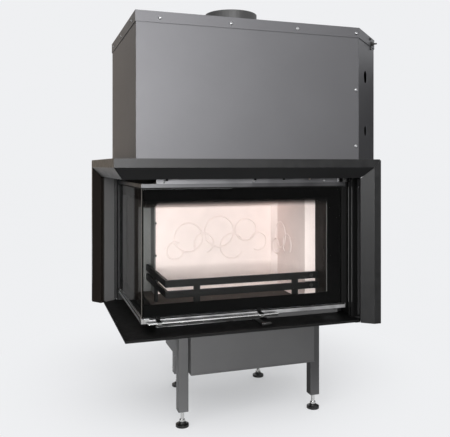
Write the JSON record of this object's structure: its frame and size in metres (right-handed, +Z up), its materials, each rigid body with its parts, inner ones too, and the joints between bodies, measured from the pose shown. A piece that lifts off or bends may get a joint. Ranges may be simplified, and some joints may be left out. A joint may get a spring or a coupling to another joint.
{
  "type": "corner fireplace",
  "caption": "Tall steel corner fireplace with an L-shaped lift-up glass door, pale fireclay lining, black surround, grey boiler hood with a flue collar, and legs on levelling feet.",
  "frame": {"origin": "on the floor, under the middle of the bounding box", "axes": "+X to the right along the front, +Y towards the back, +Z up"},
  "size_m": [1.0516, 0.6762, 1.468],
  "materials": {
    "leg_grey": "satin dark grey paint",
    "foot_zinc": "bright zinc",
    "pad_black": "matte black",
    "galvanised": "galvanised",
    "zinc": "zinc plated",
    "frame_black": "satin black paint",
    "jacket_black": "matte black paint",
    "socket_steel": "bare steel",
    "flue_black": "matte black paint",
    "fireclay": "matte cast fireclay",
    "guard_black": "satin black paint",
    "hood_grey": "satin grey paint",
    "trim_steel": "brushed",
    "glass": "clear with a black printed border",
    "handle_steel": "brushed bright",
    "weight_iron": "matte",
    "pulley_steel": "turned",
    "cable_steel": "stranded wire",
    "surround_black": "satin black paint"
  },
  "bodies": {
    "frame": {"leg_front_left": "leg_grey", "leg_front_right": "leg_grey", "leg_rear_left": "leg_grey", "leg_rear_right": "leg_grey", "air_box": "leg_grey", "air_spigot": "galvanised", "bottom_plate": "frame_black", "sill_strip": "frame_black", "firebox_shell": "frame_black", "water_jacket": "jacket_black", "water_supply": "socket_steel", "water_return": "socket_steel", "flue_collar": "flue_black", "fireclay_floor": "fireclay", "fireclay_back": "fireclay", "fireclay_right": "fireclay", "baffle": "fireclay", "log_guard": "guard_black", "hood_front": "hood_grey", "hood_left": "hood_grey", "hood_chamfer": "hood_grey", "hood_right": "hood_grey", "hood_back": "hood_grey", "hood_lid": "hood_grey", "guide_rail_right": "frame_black", "guide_rail_left": "frame_black", "pulley_bracket_right": "zinc", "pulley_bracket_left": "zinc", "cable_door_right": "cable_steel", "cable_wrap_right": "cable_steel", "cable_weight_right": "cable_steel", "cable_door_left": "cable_steel", "cable_wrap_left": "cable_steel", "cable_weight_left": "cable_steel", "surround_top": "surround_black", "surround_right": "surround_black", "surround_left": "surround_black"},
    "door": {"door_top_trim": "trim_steel", "door_bottom_trim": "trim_steel", "door_right_stile": "trim_steel", "door_left_stile": "trim_steel", "door_clamp_strip": "trim_steel", "front_glass": "glass", "side_glass": "glass", "handle_rod": "handle_steel", "handle_bracket_left": "handle_steel", "handle_bracket_right": "handle_steel"},
    "weight_right": {"counterweight_right": "weight_iron"},
    "weight_left": {"counterweight_left": "weight_iron"},
    "wheel_right": {"pulley_right": "pulley_steel"},
    "wheel_left": {"pulley_left": "pulley_steel"},
    "air_slide": {"air_slide": "zinc"},
    "foot_front_left": {"foot_screw_front_left": "foot_zinc", "foot_pad_front_left": "pad_black"},
    "foot_front_right": {"foot_screw_front_right": "foot_zinc", "foot_pad_front_right": "pad_black"},
    "foot_rear_left": {"foot_screw_rear_left": "foot_zinc", "foot_pad_rear_left": "pad_black"},
    "foot_rear_right": {"foot_screw_rear_right": "foot_zinc", "foot_pad_rear_right": "pad_black"}
  },
  "joints": [
    {"name": "door_lift", "type": "slide", "parent": "frame", "child": "door", "axis": [0, 0, 1], "range_m": [0, 0.45], "deforming": ["cable_door_right", "cable_door_left"]},
    {"name": "weight_drop_right", "type": "slide", "parent": "frame", "child": "weight_right", "axis": [0, 0, -1], "range_m": [0, 0.4505], "deforming": ["cable_weight_right"]},
    {"name": "weight_drop_left", "type": "slide", "parent": "frame", "child": "weight_left", "axis": [0, 0, -1], "range_m": [0, 0.4505], "deforming": ["cable_weight_left"]},
    {"name": "pulley_turn_right", "type": "hinge", "parent": "frame", "child": "wheel_right", "pos_m": [0.3377, -0.2009, 1.31], "axis": [-1, 0, 0], "range_deg": [0, 910]},
    {"name": "pulley_turn_left", "type": "hinge", "parent": "frame", "child": "wheel_left", "pos_m": [-0.38865, 0.29145, 1.31], "axis": [0, 1, 0], "range_deg": [0, 910]},
    {"name": "air_control", "type": "slide", "parent": "frame", "child": "air_slide", "axis": [1, 0, 0], "range_m": [-0.05, 0.03]},
    {"name": "levelling_front_left", "type": "slide", "parent": "frame", "child": "foot_front_left", "axis": [0, 0, 1], "range_m": [-0.03, 0.02]},
    {"name": "levelling_front_right", "type": "slide", "parent": "frame", "child": "foot_front_right", "axis": [0, 0, 1], "range_m": [-0.03, 0.02]},
    {"name": "levelling_rear_left", "type": "slide", "parent": "frame", "child": "foot_rear_left", "axis": [0, 0, 1], "range_m": [-0.03, 0.02]},
    {"name": "levelling_rear_right", "type": "slide", "parent": "frame", "child": "foot_rear_right", "axis": [0, 0, 1], "range_m": [-0.03, 0.02]}
  ],
  "couplings": [
    {"joint": "weight_drop_right", "follows": "door_lift", "ratio": 1},
    {"joint": "weight_drop_left", "follows": "door_lift", "ratio": 1},
    {"joint": "pulley_turn_right", "follows": "door_lift", "rad_per_m": 35.149},
    {"joint": "pulley_turn_left", "follows": "door_lift", "rad_per_m": 35.149}
  ]
}
